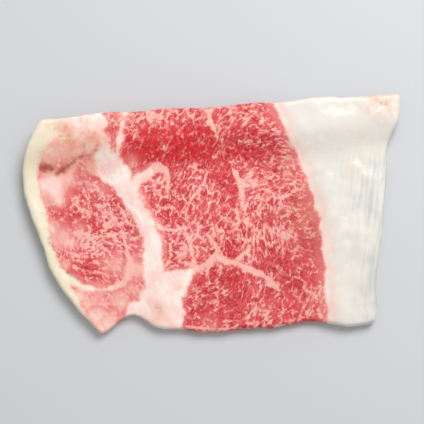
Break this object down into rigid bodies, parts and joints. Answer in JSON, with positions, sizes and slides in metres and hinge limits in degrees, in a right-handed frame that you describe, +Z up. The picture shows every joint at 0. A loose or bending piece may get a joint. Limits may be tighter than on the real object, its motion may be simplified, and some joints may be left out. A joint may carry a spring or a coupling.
{
  "type": "raw sliced wagyu beef belly",
  "caption": "Thin raw slice of well marbled wagyu beef belly with a broad fat cap, a fat seam between two muscles and a soft step along its far margin.",
  "frame": {"origin": "on the plane that the slice lies on, under the middle of its bounding box", "axes": "+X from the narrow fat rim to the broad fat cap, +Y from the near cut edge to the raised far margin, +Z up out of the shown face"},
  "size_m": [0.0986, 0.0626, 0.0072],
  "materials": {
    "raw_beef": "raw marbled meat and fat with a soft moist sheen"
  },
  "bodies": {
    "root": {"beef_slice": "raw_beef"}
  },
  "joints": []
}
